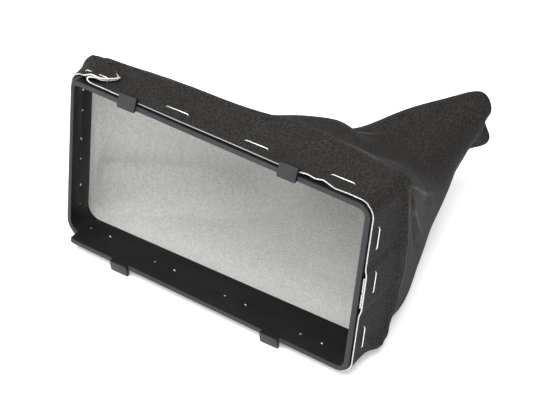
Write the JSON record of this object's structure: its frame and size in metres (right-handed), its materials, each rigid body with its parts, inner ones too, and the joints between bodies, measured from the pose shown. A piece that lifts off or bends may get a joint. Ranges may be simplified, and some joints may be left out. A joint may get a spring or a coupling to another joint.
{
  "type": "handbrake boot",
  "caption": "Car handbrake boot: a rectangular plastic hoop with snap hooks, and a leatherette gaiter stapled round it that narrows to an open sleeve for the lever.",
  "frame": {"origin": "bottom centre of the bounding box, on the surface that the part stands on", "axes": "+X along the long side of the hoop from its shallow end to its deep end, +Y from the hoop's open front to the sleeve's mouth, +Z across the hoop's short side, up as it stands"},
  "size_m": [0.1882, 0.1914, 0.1134],
  "materials": {
    "moulded_plastic": "satin black moulding, slightly blue-grey on its rims",
    "leatherette": "fine pebble grain, low sheen, with an off-white knit back",
    "staple_wire": "bright galvanised wire"
  },
  "bodies": {
    "root": {"frame": "moulded_plastic", "gaiter": "leatherette", "top_staple_1": "staple_wire", "top_staple_2": "staple_wire", "top_staple_3": "staple_wire", "top_staple_4": "staple_wire", "bottom_staple_1": "staple_wire", "bottom_staple_2": "staple_wire", "bottom_staple_3": "staple_wire", "bottom_staple_4": "staple_wire", "right_staple_1": "staple_wire", "right_staple_2": "staple_wire", "right_staple_3": "staple_wire", "left_staple_1": "staple_wire", "left_staple_2": "staple_wire", "left_staple_3": "staple_wire"}
  },
  "joints": []
}
